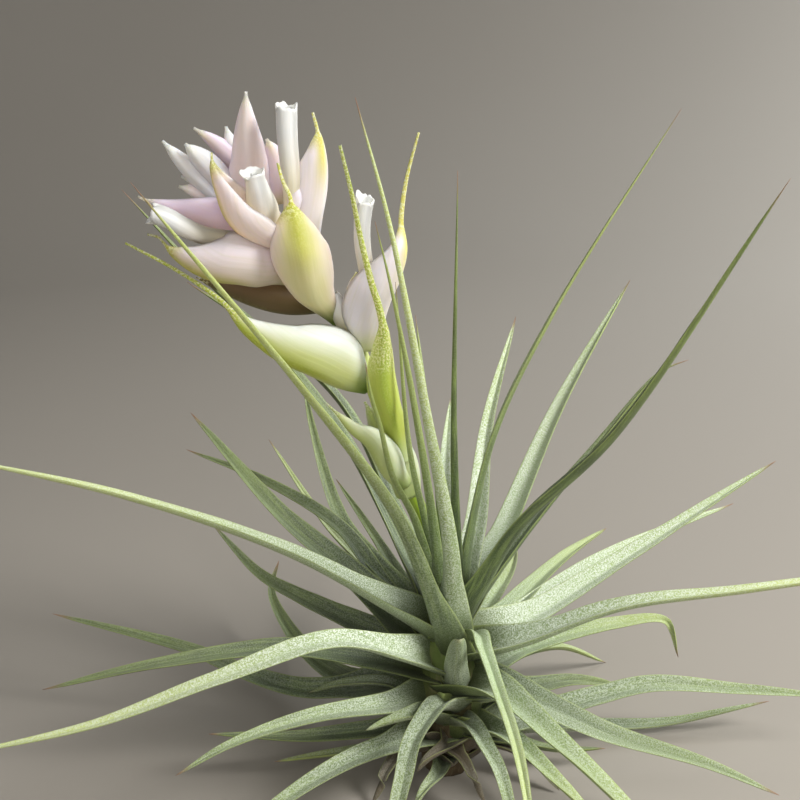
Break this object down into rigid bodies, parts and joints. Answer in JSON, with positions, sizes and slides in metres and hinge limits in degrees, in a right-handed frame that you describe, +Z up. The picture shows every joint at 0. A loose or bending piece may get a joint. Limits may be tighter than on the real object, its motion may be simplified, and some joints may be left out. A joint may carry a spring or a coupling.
{
  "type": "flowering air plant",
  "caption": "Flowering air plant with a rosette of channelled, tapering leaves round a short stem and a leaning stalk of pink bracts and white rolled petals.",
  "frame": {"origin": "centre of the flat cut foot of the stem, on the surface the plant rests on", "axes": "+Z up along the stem, +X towards the side away from the leaning flower head, +Y away from the side that the picture shows"},
  "size_m": [0.22, 0.202, 0.171],
  "materials": {
    "stem": "dry, fibrous and matt",
    "stalk": "smooth living green",
    "leaf": "matt, under silvery scales",
    "green_bract": "satin, slightly translucent",
    "pink_bract": "satin, slightly translucent",
    "petal": "satin, slightly translucent"
  },
  "bodies": {
    "root": {"short_stem": "stem", "flower_stalk": "stalk", "upright_leaf_1": "leaf", "upright_leaf_2": "leaf", "upright_leaf_3": "leaf", "upright_leaf_4": "leaf", "upright_leaf_5": "leaf", "upright_leaf_6": "leaf", "upright_leaf_7": "leaf", "upright_leaf_8": "leaf", "upright_leaf_9": "leaf", "upright_leaf_10": "leaf", "upright_leaf_11": "leaf", "rear_leaf_1": "leaf", "rear_leaf_2": "leaf", "rear_leaf_3": "leaf", "rear_leaf_4": "leaf", "left_leaf_1": "leaf", "left_leaf_2": "leaf", "left_leaf_3": "leaf", "left_leaf_4": "leaf", "left_leaf_5": "leaf", "left_leaf_6": "leaf", "left_leaf_7": "leaf", "left_leaf_8": "leaf", "left_leaf_9": "leaf", "right_leaf_1": "leaf", "right_leaf_2": "leaf", "right_leaf_3": "leaf", "right_leaf_4": "leaf", "right_leaf_5": "leaf", "right_leaf_6": "leaf", "right_leaf_7": "leaf", "right_leaf_8": "leaf", "right_leaf_9": "leaf", "right_leaf_10": "leaf", "front_leaf_1": "leaf", "front_leaf_2": "leaf", "front_leaf_3": "leaf", "front_leaf_4": "leaf", "low_leaf_1": "leaf", "low_leaf_2": "leaf", "low_leaf_3": "leaf", "crown_bract_top": "pink_bract", "crown_bract_back": "pink_bract", "crown_bract_left": "pink_bract", "floral_bract_right": "pink_bract", "floral_bract_middle": "pink_bract", "floral_bract_left": "pink_bract", "floral_bract_front": "pink_bract", "floral_bract_low": "pink_bract", "side_bract_right": "pink_bract", "stalk_bract_upper": "green_bract", "stalk_bract_lower": "green_bract", "stalk_sheath": "stalk", "corolla_tall": "petal", "corolla_right": "petal", "corolla_left": "petal", "corolla_middle": "petal", "corolla_bud": "petal"}
  },
  "joints": []
}
